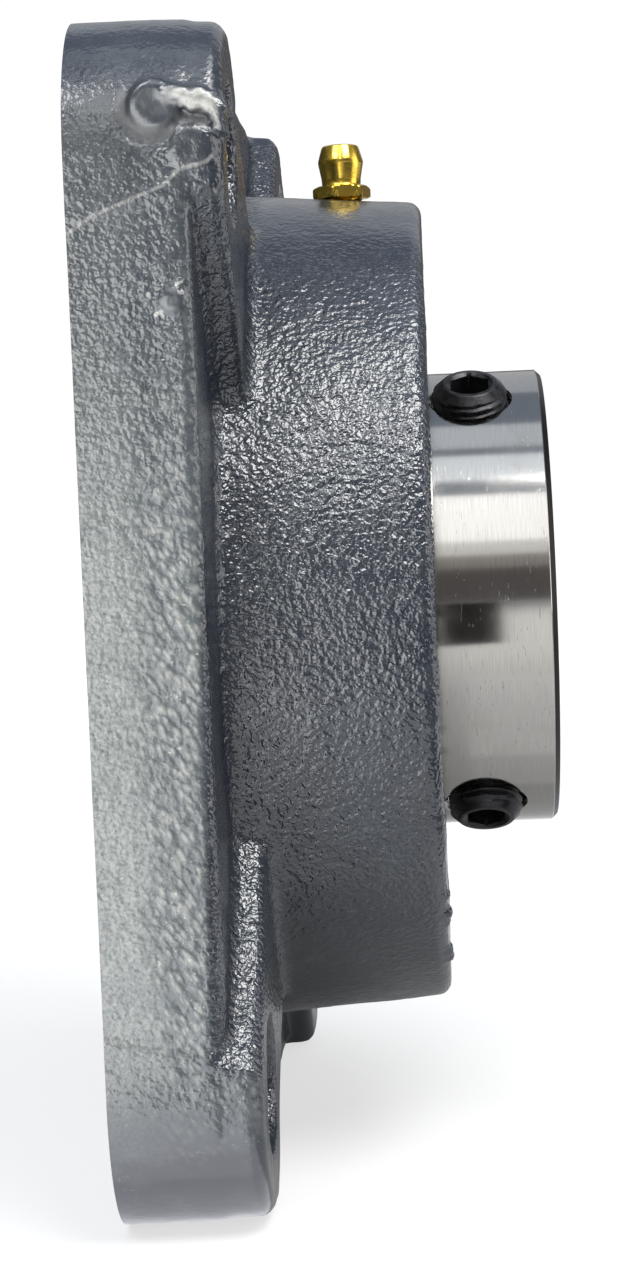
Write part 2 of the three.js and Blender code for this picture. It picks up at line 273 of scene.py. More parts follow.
def apply_modifiers(piece):
    graph = bpy.context.evaluated_depsgraph_get()
    baked = bpy.data.meshes.new_from_object(piece.evaluated_get(graph))
    piece.modifiers.clear()
    piece.data = baked


# ---- material helpers


class Shader:
    """A node material with short calls for the nodes that the finishes here use."""

    def __init__(self, name):
        self.material = bpy.data.materials.new(name)
        self.material.use_nodes = True
        self.tree = self.material.node_tree
        self.tree.nodes.clear()
        self.surface = self.node("BsdfPrincipled")
        self.node("OutputMaterial", self.surface.outputs[0])
        self.place = self.node("TexCoord").outputs["Object"]

    def put(self, socket, value):
        if isinstance(value, bpy.types.NodeSocket):
            self.tree.links.new(value, socket)
        elif isinstance(value, (tuple, list)) and socket.type == "RGBA":
            socket.default_value = (*value, 1.0)[:4]
        else:
            socket.default_value = value

    def node(self, kind, *values, **settings):
        """A node with some of its settings, and with values or links for its first sockets."""
        node = self.tree.nodes.new(f"ShaderNode{kind}")
        for name, setting in settings.items():
            setattr(node, name, setting)
        for socket, value in zip(node.inputs, values):
            self.put(socket, value)
        return node

    def fill(self, node, **values):
        """Puts values or links into a node's sockets by their names."""
        for name, value in values.items():
            self.put(node.inputs[name.replace("_", " ")], value)
        return node

    def set(self, **values):
        self.fill(self.surface, **values)

    def math(self, operation, *values, clamp=False):
        return self.node("Math", *values, operation=operation, use_clamp=clamp).outputs[0]

    def times(self, first, second):
        return self.math("MULTIPLY", first, second)

    def plus(self, first, second):
        return self.math("ADD", first, second)

    def hypot(self, first, second):
        return self.math("SQRT", self.plus(self.times(first, first), self.times(second, second)))

    def split(self, vector):
        return self.node("SeparateXYZ", vector).outputs

    def join(self, x, y, z):
        return self.node("CombineXYZ", x, y, z).outputs[0]

    def painted(self, name):
        """A value that the mesh holds at each of its points."""
        return self.node("Attribute", attribute_name=name).outputs["Fac"]

    def noise(self, size, detail=2.0, rough=0.5, vector=None):
        """Noise whose lumps are about `size` millimetres across."""
        node = self.fill(self.node("TexNoise"), Vector=vector or self.place, Scale=1 / (size * MM))
        return self.fill(node, Detail=detail, Roughness=rough).outputs["Fac"]

    def cells(self, size, smoothness, vector=None):
        """Distance from the middles of soft cells about `size` millimetres across."""
        node = self.node("TexVoronoi", feature="SMOOTH_F1")
        self.fill(node, Vector=vector or self.place, Scale=1 / (size * MM), Smoothness=smoothness)
        return node.outputs["Distance"]

    def ramp(self, value, low, high, start=0.0, end=1.0):
        """A smooth step that goes from start at the low value to end at the high one."""
        node = self.node("MapRange", value, low, high, start, end, interpolation_type="SMOOTHSTEP")
        return node.outputs["Result"]

    def blend(self, factor, first, second):
        node = self.node("Mix", factor, data_type="RGBA")
        self.put(node.inputs[6], first)
        self.put(node.inputs[7], second)
        return node.outputs[2]

    def bump(self, height, depth, under=None):
        """A bump of `depth` millimetres, laid over another bump."""
        node = self.fill(self.node("Bump"), Height=height, Distance=depth * MM, Strength=1.0)
        if under is not None:
            self.put(node.inputs["Normal"], under)
        return node.outputs[0]

    def round_the_shaft(self):
        """x, the distance round the shaft and the distance from it, all in metres."""
        x, y, z = self.split(self.place)
        angle = self.math("ARCTAN2", y, z)
        return x, self.times(angle, INNER_R * MM), self.hypot(y, z)


# ---- finishes


def enamel():
    """Glossy slate enamel, brushed thick over a rough sand-cast skin.

    The mesh says where it is chalky and painted lighter for the light on the near side, how rough its skin
    is, where it is a pale mark, and where it has grime and painted shade.
    """
    s = Shader("enamel")
    # Chalky film and painted light: on the near side the colour is also painted lighter for the broad
    # light that falls on it from the left.
    chalk_and_sheen = s.painted("chalk_and_sheen")
    rough = s.painted("rough")
    pale = s.painted("pale")
    # Painted shade and grime: dark round the lower left of the gate and under the tongue, and a dark line
    # over the gate.
    painted_shade_and_grime = s.painted("painted_shade_and_grime")
    x, y, z = s.split(s.place)
    pebbles = s.cells(0.8, 0.9)
    lean = s.plus(s.times(z, 0.62), s.times(x, 0.45))
    big_pebbles = s.cells(0.66, 0.9, vector=s.join(s.times(x, 0.72), y, lean))
    coarse = s.ramp(s.plus(x, s.times(s.noise(9), 0.006)), 0.0075, 0.0115)
    cloud = s.ramp(s.noise(24), 0.35, 0.65)
    shade = s.blend(cloud, (0.012, 0.0155, 0.0225), (0.02, 0.0255, 0.0345))
    mottle = s.ramp(s.noise(4.5, 3.0, 0.6), 0.5, 0.72, 0.0, 0.5)
    shade = s.blend(mottle, shade, (0.036, 0.043, 0.053))
    grain = s.ramp(s.noise(0.45), 0.35, 0.65)
    # The chalky colours are light: partly a chalky film, and partly painted light for the near side.
    fine_chalk_and_sheen = s.blend(grain, (0.108, 0.121, 0.119), (0.183, 0.194, 0.184))
    # Painted light and shade: the tops of the big pebbles are coloured light and the creases between them
    # dark.
    crest = s.ramp(big_pebbles, 0.1, 0.52, 1.0, 0.0)
    big_pebble_light_and_shade = s.blend(crest, (0.054, 0.065, 0.07), (0.218, 0.223, 0.207))
    chalk_and_sheen_colour = s.blend(s.times(coarse, 0.85), fine_chalk_and_sheen, big_pebble_light_and_shade)
    # The chalky, painted-light colours show in blotches.
    blotches = s.times(chalk_and_sheen, s.ramp(s.noise(3.2, 4.0, 0.65), 0.3, 0.65, 0.75, 1.0))
    shade = s.blend(blotches, shade, chalk_and_sheen_colour)
    dust = s.ramp(s.noise(0.5, 1.0), 0.66, 0.76, 0.0, 0.8)
    dust = s.times(dust, s.ramp(s.noise(8), 0.47, 0.6))
    dust = s.times(dust, s.plus(s.times(chalk_and_sheen, 0.7), 0.15))
    shade = s.blend(dust, shade, (0.36, 0.36, 0.33))
    speckle = s.ramp(s.noise(0.7, 3.0, 0.6), 0.3, 0.6, 0.55, 1.0)
    # The pale marks, speckled: bare chips, a pale flash line, and the tongue, whose pale colour is partly
    # a painted reflection of the glossy run.
    worn = s.math("MULTIPLY", pale, speckle, clamp=True)
    shade = s.blend(worn, shade, (0.31, 0.31, 0.29))
    # Painted shade round the lower left of the gate and under the tongue, and a dark line over the gate,
    # in dark brown.
    shade = s.blend(s.times(painted_shade_and_grime, 0.85), shade, (0.014, 0.0125, 0.012))
    s.set(Base_Color=shade)
    gloss = s.ramp(s.noise(3, 3.0), 0.3, 0.7, 0.14, 0.24)
    dull = s.math("MAXIMUM", s.math("MAXIMUM", chalk_and_sheen, pale), painted_shade_and_grime)
    gloss = s.plus(gloss, s.times(painted_shade_and_grime, 0.35))
    s.set(Roughness=s.plus(gloss, s.times(dull, 0.14)))
    s.set(IOR=1.75, Specular_IOR_Level=0.5)
    strength = s.times(rough, s.math("SUBTRACT", 1.0, s.times(chalk_and_sheen, 0.5)))
    round_part = s.times(s.times(chalk_and_sheen, rough), s.plus(s.times(coarse, 0.8), 0.2))
    normal = s.bump(s.times(pebbles, strength), -0.14)
    normal = s.bump(s.times(big_pebbles, round_part), -0.2, normal)
    normal = s.bump(s.times(s.noise(0.58, 1.0), strength), 0.25, normal)
    s.set(Normal=normal)
    return s.material


def machined_iron():
    """Bare grey iron with the fine rings of a turning tool, dulled by oil."""
    s = Shader("machined_iron")
    x, around, radius = s.round_the_shaft()
    rings = s.noise(1.0, vector=s.join(s.times(radius, 3.5), s.times(around, 0.03), s.times(x, 3.5)))
    stain = s.noise(11, 4.0, 0.6)
    colour = s.blend(s.ramp(stain, 0.35, 0.7), (0.3, 0.3, 0.295), (0.18, 0.175, 0.165))
    s.set(Base_Color=colour, Metallic=0.85)
    s.set(Roughness=s.ramp(stain, 0.3, 0.7, 0.32, 0.5))
    pores = s.ramp(s.noise(0.5), 0.62, 0.75)
    s.set(Normal=s.bump(pores, -0.05, s.bump(rings, 0.05)))
    return s.material


def ground_steel(name, colour, rough, streak, ends=None):
    """Ground steel, with fine lines that run round the shaft and a few light scratches.

    The corners by the ends, two places along x in millimetres, are coloured dark and made a little
    rougher.
    """
    s = Shader(name)
    x, around, radius = s.round_the_shaft()
    lines = s.noise(0.05, 3.0, 0.6, vector=s.join(x, s.times(around, 0.012), radius))
    stain = s.noise(7, 3.0, 0.6)
    tint = s.blend(s.ramp(lines, 0.3, 0.7), colour, tuple(c * 0.84 for c in colour))
    oil = tuple(c * k for c, k in zip(colour, (0.7, 0.66, 0.6)))
    tint = s.blend(s.ramp(stain, 0.55, 0.75, 0.0, 0.25), tint, oil)
    dark = 0.0
    if ends is not None:
        middle = (ends[0] + ends[1]) / 2 * MM
        half = (ends[1] - ends[0]) / 2 * MM
        inward = s.math("SUBTRACT", half, s.math("ABSOLUTE", s.math("SUBTRACT", x, middle)))
        in_corner = s.ramp(inward, 0.00066, 0.00074, 1.0, 0.0)
        dark = s.times(in_corner, s.ramp(inward, 0.00002, 0.00008))
        tint = s.blend(dark, tint, (0.028, 0.026, 0.026))
    s.set(Base_Color=tint, Metallic=1.0)
    scratch_way = s.join(s.times(x, 6.0), s.times(around, 0.55), radius)
    scratch = s.ramp(s.noise(0.9, 1.0, vector=scratch_way), 0.735, 0.76)
    haze = s.plus(s.times(scratch, 0.15), s.times(dark, 0.25))
    s.set(Roughness=s.plus(s.ramp(stain, 0.3, 0.7, rough * 0.92, rough * 1.08), haze))
    normal = s.bump(lines, streak)
    s.set(Normal=s.bump(scratch, -0.008, normal))
    return s.material


def ball_steel():
    s = Shader("ball_steel")
    haze = s.noise(2.5, 3.0)
    s.set(Base_Color=s.blend(haze, (0.78, 0.78, 0.78), (0.7, 0.71, 0.73)), Metallic=1.0)
    s.set(Roughness=s.ramp(haze, 0.3, 0.7, 0.05, 0.11))
    s.set(Normal=s.bump(s.noise(0.3), 0.0008))
    return s.material


def sheet_steel():
    """Pressed strip, with the drawn-out lines of the press and a dull oil film."""
    s = Shader("sheet_steel")
    x, around, radius = s.round_the_shaft()
    lines = s.noise(0.16, 2.0, 0.6, vector=s.join(x, s.times(around, 0.02), radius))
    film = s.noise(6, 3.0, 0.6)
    colour = s.blend(s.ramp(film, 0.4, 0.7), (0.5, 0.5, 0.48), (0.4, 0.39, 0.36))
    s.set(Base_Color=colour, Metallic=1.0)
    s.set(Roughness=s.ramp(film, 0.3, 0.7, 0.26, 0.42))
    s.set(Normal=s.bump(s.noise(0.4), 0.004, s.bump(lines, 0.006)))
    return s.material


def seal_rubber():
    s = Shader("seal_rubber")
    dust = s.noise(1.4, 4.0, 0.65)
    s.set(Base_Color=s.blend(s.ramp(dust, 0.5, 0.75), (0.014, 0.014, 0.015), (0.045, 0.043, 0.04)))
    s.set(Roughness=s.ramp(dust, 0.3, 0.7, 0.5, 0.7))
    s.set(Normal=s.bump(s.noise(0.25, 3.0), 0.012))
    return s.material


def black_oxide():
    """Oiled black oxide, a little worn to grey on the crests."""
    s = Shader("black_oxide")
    film = s.noise(1.3, 3.0, 0.6)
    worn = s.ramp(s.noise(0.35), 0.62, 0.74, 0.0, 0.5)
    colour = s.blend(s.ramp(film, 0.35, 0.7), (0.012, 0.012, 0.014), (0.026, 0.026, 0.029))
    s.set(Base_Color=s.blend(worn, colour, (0.055, 0.055, 0.058)), Metallic=0.6)
    s.set(Roughness=s.ramp(film, 0.3, 0.7, 0.24, 0.42))
    s.set(Specular_IOR_Level=0.6)
    s.set(Normal=s.bump(s.noise(0.2, 3.0), 0.008))
    return s.material


def gold_plate():
    """Yellow zinc plate over turned steel."""
    s = Shader("gold_plate")
    stretched = s.node("VectorMath", s.place, (0.03, 0.03, 1.0), operation="MULTIPLY").outputs[0]
    turning = s.noise(0.12, vector=stretched)
    blotches = s.noise(1.6, 3.0, 0.6)
    colour = s.blend(s.ramp(blotches, 0.35, 0.7), (0.84, 0.6, 0.1), (0.62, 0.4, 0.05))
    s.set(Base_Color=colour, Metallic=1.0)
    s.set(Roughness=s.ramp(blotches, 0.3, 0.7, 0.14, 0.28))
    s.set(Normal=s.bump(turning, 0.006))
    return s.material


ENAMEL = enamel()
IRON = machined_iron()
RING_STEEL = ground_steel("ring_steel", (0.42, 0.41, 0.39), 0.125, 0.0006, (INNER_LOW[0], INNER_HIGH[0]))
RACE_STEEL = ground_steel("race_steel", (0.36, 0.355, 0.345), 0.24, 0.002)
BALL_STEEL = ball_steel()
SHEET_STEEL = sheet_steel()
RUBBER = seal_rubber()
BLACK = black_oxide()
GOLD = gold_plate()


def finish_piece(piece, material, body, node):
    """Gives a piece its material and its slot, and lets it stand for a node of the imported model."""
    if not piece.data.materials:
        dressed(piece, material)
    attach(piece, body)
    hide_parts(node)


# ---- housing

VOXEL = 0.45
MARGIN = 2.5
PLATE_DRAFT = 0.018
ARM_DRAFT = 0.16


def lumps(axes, tile, wave_low, wave_high, seed, way=(0.0, 0.0, 1.0), stretch=1.0):
    """Smooth lumps of unit height over a grid, with wavelengths between two lengths in millimetres.

    They repeat every `tile` millimetres, and are drawn out along a way.
    """
    count = int(tile / VOXEL)
    rng = np.random.default_rng(seed)
    spectrum = np.fft.rfftn(rng.standard_normal((count, count, count)))
    steps = [np.fft.fftfreq(count, VOXEL)[:, None, None], np.fft.fftfreq(count, VOXEL)[None, :, None]]
    steps.append(np.fft.rfftfreq(count, VOXEL)[None, None, :])
    along = sum(step * part for step, part in zip(steps, way)) / math.hypot(*way)
    rate = np.sqrt(sum(step * step for step in steps) + (stretch * stretch - 1) * along * along)
    middle = 2 / (wave_low + wave_high)
    spread = (1 / wave_low - 1 / wave_high) / 2
    field = np.fft.irfftn(spectrum * np.exp(-(((rate - middle) / spread) ** 2)), s=(count, count, count))
    field = (field / field.std()).astype(np.float32)
    return field[np.ix_(*[np.arange(len(axis)) % count for axis in axes])]


def union(a, b, blend):
    """The union of two distance fields, with a fillet where they meet."""
    h = np.maximum(blend - np.abs(a - b), 0) / blend
    return np.minimum(a, b) - h * h * blend / 4


def carve(a, b, blend):
    """The first field with the second one cut out of it."""
    return -union(-a, b, blend)


def both(a, b):
    """The true distance from where two fields at a right angle are both below zero."""
    outside = np.sqrt(np.maximum(a, 0) ** 2 + np.maximum(b, 0) ** 2)
    return np.minimum(np.maximum(a, b), 0) + outside


def slab(flat, along, radius):
    """An outline's distance field made solid up to a face, with that edge rounded."""
    return both(flat + radius, along + radius) - radius


def flange_outline(y, z):
    """The square of the flange with its round corners."""
    reach = FLANGE_HALF - CORNER_R
    return both(np.abs(y) - reach, np.abs(z) - reach) - CORNER_R


def arm_outline(y, z):
    """The two diagonal bars that narrow from the boss to the corners."""
    fall = (ARM_HALF_AT_BOSS - ARM_HALF_AT_CORNER) / (1.5 * FLANGE_HALF - BOSS_ROOT_R)
    bars = []
    for side in (1, -1):
        along = np.abs(y + side * z) / math.sqrt(2)
        across = np.abs(y - side * z) / math.sqrt(2)
        bars.append(across - ARM_HALF_AT_BOSS + fall * (along - BOSS_ROOT_R))
    return np.minimum(*bars)


# Marks of the foundry on the near side of the flange: places are (x, z) on that face.
GATE_AT = (10.45, 59.5)
GATE_R = 2.9
VENT_AT = (11.6, 37.4)
VENT_R = 1.5
STUB_AT = (14.5, 54.6)
STUB_R = 2.4
TONGUE_WAY = ((12.1, 60.9), (14.3, 60.0), (16.4, 59.6), (17.7, 58.2), (17.8, 56.6))
FLASH_WAY = ((16.8, 53.4), (16.2, 52.8), (13.1, 52.1), (11.2, 50.4), (7.0, 48.8), (3.2, 47.4), (0.5, 45.7))
FLASH_R = 0.2
# Bare chips in the enamel, as (x, z, radius).
CHIPS = ((16.2, 46.8, 0.35), (12.4, 39.4, 0.35), (10.1, 36.1, 0.5), (9.1, 38.2, 0.3), (17.0, 49.6, 0.2))
BURR_WAY = ((13.7, -64.5), (16.6, -65.9))
OVER_GATE_WAY = ((8.8, 62.4), (10.5, 63.0), (12.9, 62.6), (14.6, 61.4))
UNDER_TONGUE_WAY = ((13.2, 58.2), (14.6, 57.8), (15.8, 57.9))


def away(x, z, mark):
    """Distance from places on the near side to the middle of a mark there."""
    return np.hypot(x - mark[0], z - mark[1])


def way_distance(x, z, way):
    """Distance from places on the near side to a line through the (x, z) points of a way."""
    nearest = np.inf
    for (ax, az), (bx, bz) in zip(way, way[1:]):
        dx, dz = bx - ax, bz - az
        t = np.clip(((x - ax) * dx + (z - az) * dz) / (dx * dx + dz * dz), 0, 1)
        nearest = np.minimum(nearest, np.hypot(x - ax - t * dx, z - az - t * dz))
    return nearest


def tongue_distance(x, z):
    """Distance from the wavering edge of the pale tongue, which is negative on the tongue."""
    waver = 0.16 * np.sin(2.9 * x + 1.7 * z) + 0.13 * np.sin(4.7 * z - 3.1 * x)
    reach = 0.4 + 0.95 * rise(x, 11.9, 15.0) - 0.6 * rise(-z, -59.2, -57.4)
    return way_distance(x, z, TONGUE_WAY) - reach + waver


def foundry_marks(body, x, y, z):
    """Adds the gate stub, vent stub, paint tongue and flash line to the near side's distance field."""
    face = -FLANGE_HALF
    depth = y - face
    gate = away(x, z, GATE_AT)
    moat = np.hypot(gate - GATE_R - 0.7, depth * 3.0) - 0.65
    left = np.maximum(moat, (x - GATE_AT[0]) + 0.3 * (z - GATE_AT[1]) - 1.0)
    body = carve(body, left, 1.6)
    body = union(body, slab(gate - GATE_R, -depth - 0.12, 0.3), 0.8)
    body = union(body, slab(away(x, z, VENT_AT) - VENT_R, -depth - 0.25, 0.2), 0.4)
    body = union(body, slab(away(x, z, STUB_AT) - STUB_R, -depth - 0.07, 0.3), 0.6)
    body = union(body, slab(tongue_distance(x, z), -depth - 0.55, 0.8), 0.9)
    flash = np.hypot(way_distance(x, z, FLASH_WAY), depth - 0.05) - FLASH_R
    body = union(body, flash, 0.4)
    burr = np.hypot(way_distance(x, z, BURR_WAY), depth * 0.8) - 0.45
    return carve(body, burr, 0.4)


def steep(value):
    """1 plus the exponential of a value, held within single precision."""
    return 1 + np.exp(np.minimum(value, 80))


def near_side(x, y):
    """How far a place belongs to the near side of the flange, from 0 to 1."""
    return 1 / steep((y + FLANGE_HALF - 1.6) * 4) / steep((x - PAD_X + 0.4) * 6)


def rise(value, low, high):
    """A smooth step from 0 at the low value to 1 at the high one."""
    t = np.clip((value - low) / (high - low), 0, 1)
    return t * t * (3 - 2 * t)


def marks_cover(x, z):
    """How far a place lies on one of the smooth marks."""
    gate = rise(GATE_R + 0.5 - away(x, z, GATE_AT), -0.4, 0.4)
    vent = rise(VENT_R - away(x, z, VENT_AT), -0.3, 0.3)
    stub = rise(STUB_R - away(x, z, STUB_AT), -0.3, 0.5) * 0.8
    return np.maximum.reduce([gate, vent, stub, rise(-tongue_distance(x, z), -0.6, 0.3) * 0.85])


def roughness_of_skin(x, y, z):
    """How far the casting's pebbled skin shows: less low down, on top of the boss and on the marks."""
    side = near_side(x, y)
    out = np.hypot(y, z)
    up = np.arctan2(z, -y)
    on_boss = rise(x, PAD_X, PAD_X + 1.5) * rise(out, BOSS_FRONT_R - 5, BOSS_FRONT_R - 2)
    top = rise(up, math.radians(42), math.radians(66)) * on_boss
    under = rise(-up, math.radians(30), math.radians(56)) * on_boss
    from_bolt = np.hypot(np.abs(y) - BOLT_AT, np.abs(z) - BOLT_AT)
    in_hole = rise(from_bolt, BOLT_HOLE_R + 0.8, BOLT_HOLE_R + 0.3)
    low = rise(-z, 49, 60) * (1 - on_boss) * (1 - in_hole)
    rim = rise(flange_outline(y, z), -2.2, -1.2) * rise(-x, -PAD_X - 0.5, -PAD_X + 0.5)
    high = rim * (0.4 * rise(z, 36, 48) + 0.32 * rise(z, 52, 59))
    smooth_parts = [0.72 * top, 0.6 * under, 0.93 * low, high, 0.95 * marks_cover(x, z) * side]
    return 1 - np.maximum.reduce(smooth_parts)


def points_mm(piece):
    """The x, y and z of a piece's points, in millimetres."""
    points = np.empty(3 * len(piece.data.vertices), np.float32)
    piece.data.vertices.foreach_get("co", points)
    return points.reshape(-1, 3).T / MM


def refine_marks(piece):
    """Splits the faces by the fine marks into nine, so that their edges can be painted sharply."""
    x, y, z = points_mm(piece)
    by_mark = (way_distance(x, z, FLASH_WAY) < 0.9) | (np.abs(tongue_distance(x, z)) < 0.9)
    for at_x, at_z, radius in CHIPS:
        by_mark |= away(x, z, (at_x, at_z)) < radius + 0.8
    by_mark &= near_side(x, y) > 0.5
    ends = np.empty(2 * len(piece.data.edges), np.int32)
    piece.data.edges.foreach_get("vertices", ends)
    chosen = np.nonzero(by_mark[ends.reshape(-1, 2)].all(axis=1))[0]
    shape = bmesh.new()
    shape.from_mesh(piece.data)
    shape.edges.ensure_lookup_table()
    edges = [shape.edges[i] for i in chosen]
    bmesh.ops.subdivide_edges(shape, edges=edges, cuts=2, use_grid_fill=True)
    shape.to_mesh(piece.data)
    shape.free()


def paint_skin(piece):
    """Writes on each point how chalky and how lit by painted light the enamel is there, how rough and how
    pale, and how much grime and painted shade it has.
    """
    x, y, z = points_mm(piece)
    side = near_side(x, y)
    past_edge = rise(x - 13.3 - 0.03 * z, -0.7, 0.6) * rise(z, -54, -49)
    # A chalky film and painted light on the near side: strongest from the middle down, weaker at the top
    # and the bottom.
    chalk_and_sheen = side * (0.08 + 0.18 * rise(-z, -66, -50) + 0.74 * rise(-z, -42, 0))
    chalk_and_sheen = chalk_and_sheen * (1 - 0.85 * rise(-z, 44, 60)) * (1 - past_edge)
    # The tongue is a pale paint run; its pale colour is partly a painted reflection of the glossy run.
    tongue = rise(-tongue_distance(x, z), -0.35, 0.55)
    flash = rise(FLASH_R - way_distance(x, z, FLASH_WAY), -0.1, 0.1)
    pale = np.maximum(tongue * 0.95, flash * (0.4 + 0.12 * np.sin(3.1 * x)))
    for at_x, at_z, radius in CHIPS:
        waver = 0.18 * np.sin(7.3 * x + 2.1 * z) + 0.14 * np.sin(8.9 * z - 4.3 * x)
        chip = radius - np.hypot(x - at_x, (z - at_z) * 1.3) + waver
        pale = np.maximum(pale, rise(chip, -0.15, 0.2))
    # Painted shade: dark round the lower left of the gate by its moat and under the tongue, and a dark
    # line over the gate.
    lower_left = rise(-(x - GATE_AT[0]) - 0.8 * (z - GATE_AT[1]), -2.0, 2.5)
    painted_shade_and_grime = rise(1.3 - np.abs(away(x, z, GATE_AT) - GATE_R - 0.6), 0.0, 1.2) * lower_left * 0.75
    over_gate = way_distance(x, z, OVER_GATE_WAY)
    painted_shade_and_grime = np.maximum(painted_shade_and_grime, rise(0.55 - over_gate, -0.25, 0.25) * 0.9)
    under_tongue = way_distance(x, z, UNDER_TONGUE_WAY)
    painted_shade_and_grime = np.maximum(painted_shade_and_grime, rise(0.8 - under_tongue, -0.4, 0.5) * 0.6) * (1 - tongue)
    rough = roughness_of_skin(x, y, z)
    skins = {"chalk_and_sheen": chalk_and_sheen, "rough": rough, "pale": pale * side, "painted_shade_and_grime": painted_shade_and_grime * side}
    for name, values in skins.items():
        layer = piece.data.attributes.new(name, "FLOAT", "POINT")
        layer.data.foreach_set("value", values.astype(np.float32))


# Paint drips on the rim of the boss's front, as (z, radius).
DRIPS = ((-35.5, 0.55), (-38.2, 0.9), (-39.6, 0.6), (-44.0, 0.8), (-45.0, 0.9))


def casting():
    """The rough casting, before machining, as one closed surface."""
    low = np.array([-MARGIN, -FLANGE_HALF - MARGIN, -FLANGE_HALF - MARGIN])
    high = np.array([BOSS_FRONT_X + MARGIN, FLANGE_HALF + MARGIN, FLANGE_HALF + MARGIN])
    shape = tuple(int(n) for n in np.ceil((high - low) / VOXEL))
    axes = [(low[i] + VOXEL * np.arange(shape[i])).astype(np.float32) for i in range(3)]
    x = axes[0][:, None, None]
    y = axes[1][None, :, None]
    z = axes[2][None, None, :]
    outline = flange_outline(y, z) + PLATE_DRAFT * x
    plate = slab(outline, x - PLATE_X, 1.9 - 0.012 * z)
    out = np.hypot(y, z)
    outward = rise(out, 66, 88)
    arm_sides = np.maximum(arm_outline(y, z) + ARM_DRAFT * (x - PLATE_X), outline)
    arms = slab(arm_sides, x - PAD_X, 1.0 + 0.9 * outward)
    body = union(plate, arms, 2.2 - 1.2 * outward)
    cone = (BOSS_ROOT_R - BOSS_FRONT_R) / (BOSS_FRONT_X - PAD_X)
    boss = slab(out - BOSS_ROOT_R + cone * (x - PAD_X), x - BOSS_FRONT_X, 1.7)
    body = union(body, boss, 2.2)
    rim_r = BOSS_FRONT_R - 1.2
    for drip_z, radius in DRIPS:
        drip_y = -math.sqrt(rim_r * rim_r - drip_z * drip_z)
        from_drip = np.sqrt((x - BOSS_FRONT_X + 0.3) ** 2 + (y - drip_y) ** 2 + (z - drip_z) ** 2)
        body = union(body, from_drip - radius, 0.8)

    side = near_side(x, y)
    skin = roughness_of_skin(x, y, z)
    # Pebbles all over, bold patches of them on the near side, streaks elsewhere, and slow waves.
    body = body - 0.031 * skin * (1 - 0.4 * side) * lumps(axes, 41, 1.25, 2.1, 11)
    cluster = rise(lumps(axes, 64, 7, 16, 15), -0.9, 0.9)
    patchy = side * skin * (0.3 + 0.7 * cluster) * (0.55 + 0.45 * rise(x, 3, 9))
    body = body - 0.062 * patchy * lumps(axes, 47, 1.2, 2.0, 12, (0.6, 0, -0.8), 1.3)
    body = body - 0.018 * (1 - side) * skin * lumps(axes, 53, 2.2, 4.5, 14, (0, 1, 0.2), 1.6)
    body = body - 0.05 * lumps(axes, 64, 9, 24, 13)
    band = slice(0, int((MARGIN + 6) / VOXEL))
    body[:, band, :] = foundry_marks(body[:, band, :], x, y[:, band, :], z)

    grid = openvdb.FloatGrid(2 * VOXEL)
    grid.copyFromArray(np.clip(body, -2 * VOXEL, 2 * VOXEL).astype(np.float32))
    points, triangles, quads = grid.convertToPolygons(isovalue=0.0, adaptivity=0.0)
    points = points * VOXEL + low
    faces = [tuple(q[::-1]) for q in quads.tolist()] + [tuple(t[::-1]) for t in triangles.tolist()]
    return dressed(mesh_object("housing_casting", points, faces, 60.0), ENAMEL)


def bore_cutter():
    """The machined inside: rear recess, spherical seat with its grease groove, and front mouth."""
    seat = OUTER_R + SEAT_GAP
    reach = OUTER_HALF + 2
    mouth = math.sqrt(seat * seat - reach * reach)
    groove_half = 1.5

    def seat_arc(start, end, steps):
        xs = np.linspace(start, end, steps)
        return [(v, math.sqrt(seat * seat - (v - BALL_X) ** 2)) for v in xs]

    past = 4
    groove_low, groove_high = NIPPLE_X - groove_half, NIPPLE_X + groove_half
    outline = [(-past, RECESS_R + past + 0.8), (0.8, RECESS_R)]
    corner = [(RECESS_X - 2, RECESS_R), (RECESS_X, RECESS_R), (RECESS_X, RECESS_R - 2)]
    outline += rounded(corner, 1, 4, False)
    outline += [(BALL_X - reach, mouth + 0.8)]
    outline += seat_arc(BALL_X - reach + 0.6, groove_low, 26)
    outline += [(groove_low, OUTER_R + 1.6), (groove_high, OUTER_R + 1.6)]
    outline += seat_arc(groove_high, BALL_X + reach, 12)
    outline += [(BOSS_FRONT_X - 1.2, mouth), (BOSS_FRONT_X + past, mouth + past + 1.2)]
    axis_r = 0.5
    outline = [(-past, axis_r)] + outline + [(BOSS_FRONT_X + past, axis_r)]
    return dressed(turned("bore_cutter", outline, 160), IRON)


def back_cutter():
    """Takes off what lies behind the mounting face. Its many small faces keep the cut tidy."""
    past = 9
    reach = 110
    rings = [(0, radius) for radius in np.arange(reach, 1, -5)]
    return dressed(turned("back_cutter", [(-past, 1), (-past, reach)] + rings + [(0, 1)], 160), IRON)


def block(name, low, high):
    """A box cutter between two corners."""
    corners = list(itertools.product(*zip(low, high)))
    faces = [(0, 1, 3, 2), (4, 6, 7, 5), (0, 4, 5, 1), (2, 3, 7, 6), (0, 2, 6, 4), (1, 5, 7, 3)]
    return dressed(mesh_object(name, corners, faces), IRON)


def drill(name, origin, direction, radius, length, chamfer, material=ENAMEL):
    """A round cutter that widens past its length, to chamfer the mouth of its hole."""
    mouth = radius + chamfer
    rows = [(0, radius), (length - chamfer, radius), (length, mouth), (length + 3, mouth + 3)]
    return place(dressed(spun(name, rows, 72), material), stand(origin, direction))


